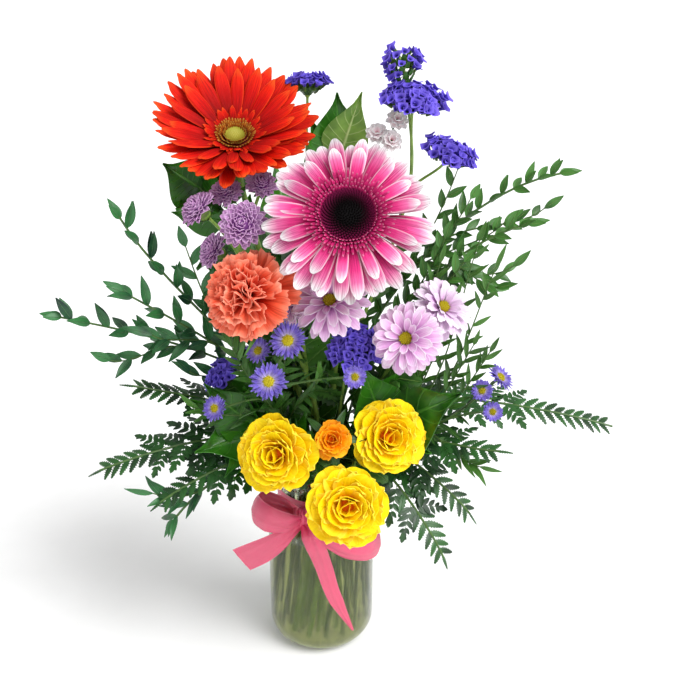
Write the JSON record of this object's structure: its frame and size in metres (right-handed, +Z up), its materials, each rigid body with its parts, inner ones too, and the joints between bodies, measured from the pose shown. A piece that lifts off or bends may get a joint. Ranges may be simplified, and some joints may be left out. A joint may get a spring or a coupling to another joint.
{
  "type": "gerberas in a vase",
  "caption": "Mixed bouquet of gerberas, roses, asters and leafy greenery in a round glass jar of water with a ribbon bow at its neck.",
  "frame": {"origin": "centre of the jar's flat foot, on the surface it stands on", "axes": "+Z up along the jar's axis, the bouquet's front faces -Y, +X to the viewer's right"},
  "size_m": [0.3932, 0.2314, 0.4426],
  "materials": {
    "jar_glass": "clear glass with a faint olive tint",
    "water": "clear water",
    "ribbon_satin": "satin sheen",
    "petal_red": "soft matt petal",
    "eye_yellow": "matt disc florets",
    "petal_pink": "soft matt petal",
    "eye_maroon": "matt disc florets",
    "petal_coral": "soft ruffled petal",
    "petal_lilac": "soft matt petal",
    "petal_lavender": "soft matt petal",
    "floret_violet": "papery floret",
    "petal_yellow": "soft matt petal",
    "stem_green": "fresh green stem",
    "leaf_salal": "leathery leaf with a low gloss",
    "leaf_fern": "leathery frond",
    "leaf_gum": "waxy leaf",
    "aster_spray": "green stems with small violet heads",
    "filler_spray": "thin twigs with small pale blooms"
  },
  "bodies": {
    "root": {"aster_left": "aster_spray", "aster_right": "aster_spray", "carnation": "petal_coral", "daisy_left": "petal_lavender", "daisy_middle": "petal_lavender", "daisy_pale": "petal_lavender", "daisy_right": "petal_lavender", "eucalyptus_left": "leaf_gum", "eucalyptus_left_high": "leaf_gum", "eucalyptus_left_long": "leaf_gum", "eucalyptus_left_low": "leaf_gum", "eucalyptus_right": "leaf_gum", "eucalyptus_right_low": "leaf_gum", "fern_back": "leaf_fern", "fern_left": "leaf_fern", "fern_left_high": "leaf_fern", "fern_left_low": "leaf_fern", "fern_right": "leaf_fern", "fern_right_high": "leaf_fern", "fern_right_long": "leaf_fern", "fern_right_low": "leaf_fern", "filler": "filler_spray", "gerbera_pink_eye": "eye_maroon", "gerbera_pink_rays": "petal_pink", "gerbera_red_eye": "eye_yellow", "gerbera_red_rays": "petal_red", "jar": "jar_glass", "pompon_back": "petal_lilac", "pompon_front": "petal_lilac", "pompon_left": "petal_lilac", "pompon_low": "petal_lilac", "pompon_right": "petal_lilac", "ribbon": "ribbon_satin", "rose_left": "petal_yellow", "rose_low": "petal_yellow", "rose_right": "petal_yellow", "rose_small": "petal_yellow", "salal_back": "leaf_salal", "salal_left": "leaf_salal", "salal_left_high": "leaf_salal", "salal_right": "leaf_salal", "salal_top": "leaf_salal", "statice_back": "floret_violet", "statice_high": "floret_violet", "statice_left": "floret_violet", "statice_middle": "floret_violet", "statice_right": "floret_violet", "statice_top": "floret_violet", "stem_carnation": "stem_green", "stem_daisy_left": "stem_green", "stem_daisy_right": "stem_green", "stem_gerbera_pink": "stem_green", "stem_gerbera_red": "stem_green", "stem_pompon": "stem_green", "stem_rose_left": "stem_green", "stem_rose_right": "stem_green", "stem_statice_back": "stem_green", "stem_statice_middle": "stem_green", "stem_statice_right": "stem_green", "water": "water"}
  },
  "joints": []
}
